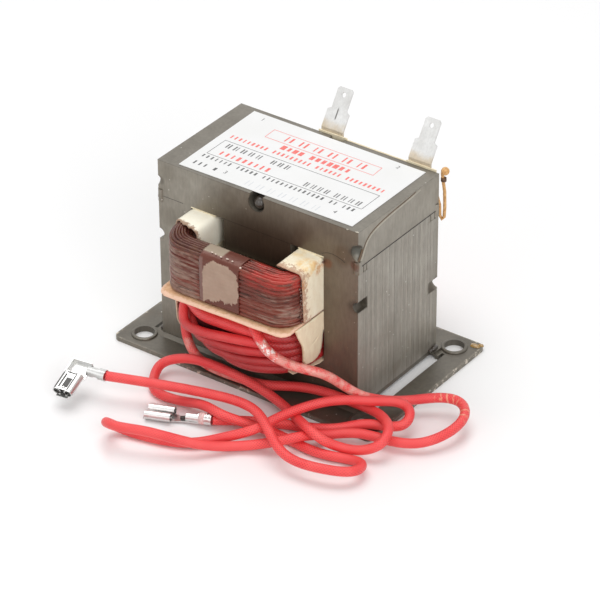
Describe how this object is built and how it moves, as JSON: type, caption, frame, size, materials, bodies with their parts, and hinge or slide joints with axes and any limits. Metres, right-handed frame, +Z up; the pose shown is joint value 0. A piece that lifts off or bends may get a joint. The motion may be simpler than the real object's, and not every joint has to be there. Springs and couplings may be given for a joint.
{
  "type": "filament transformer",
  "caption": "Chassis-mounting filament transformer: welded laminated core on a stamped plate, two windings, push-on tabs and two long flexible leads with receptacles.",
  "frame": {"origin": "middle of the four mounting holes, on the underside of the mounting plate", "axes": "+Z up, away from the surface the plate is mounted on; +X along the core's width and the plate's long side; the leads leave the winding at -Y and the tabs stand at +Y"},
  "size_m": [0.1377, 0.1374, 0.089],
  "materials": {
    "plate_steel": "varnished",
    "lamination_steel": "varnished",
    "weld": "dull",
    "enamelled_wire": "varnished",
    "tape": "matte",
    "paper": "matte",
    "board": "satin",
    "sleeved_wire": "satin",
    "tinned_brass": "polished",
    "wire_sleeving": "matte",
    "label_film": "satin"
  },
  "bodies": {
    "root": {"base_plate": "plate_steel", "e_laminations": "lamination_steel", "i_laminations": "lamination_steel", "yoke_seam_weld": "weld", "corner_welds": "weld", "plate_welds": "weld", "primary_former": "paper", "primary_winding": "enamelled_wire", "tape_band": "tape", "primary_liner_right": "paper", "primary_liner_left": "paper", "top_insulation": "paper", "insulating_board": "board", "filament_former": "paper", "filament_winding": "sleeved_wire", "filament_liner_right": "paper", "filament_liner_left": "paper", "bottom_insulation": "paper", "terminal_insulation": "paper", "terminal_tab_left": "tinned_brass", "terminal_tab_right": "tinned_brass", "wire_tail_right": "wire_sleeving", "wire_tail_left": "wire_sleeving", "label": "label_film", "lead_a": "sleeved_wire", "lead_b": "sleeved_wire", "straight_receptacle": "tinned_brass", "flag_receptacle": "tinned_brass"}
  },
  "joints": []
}
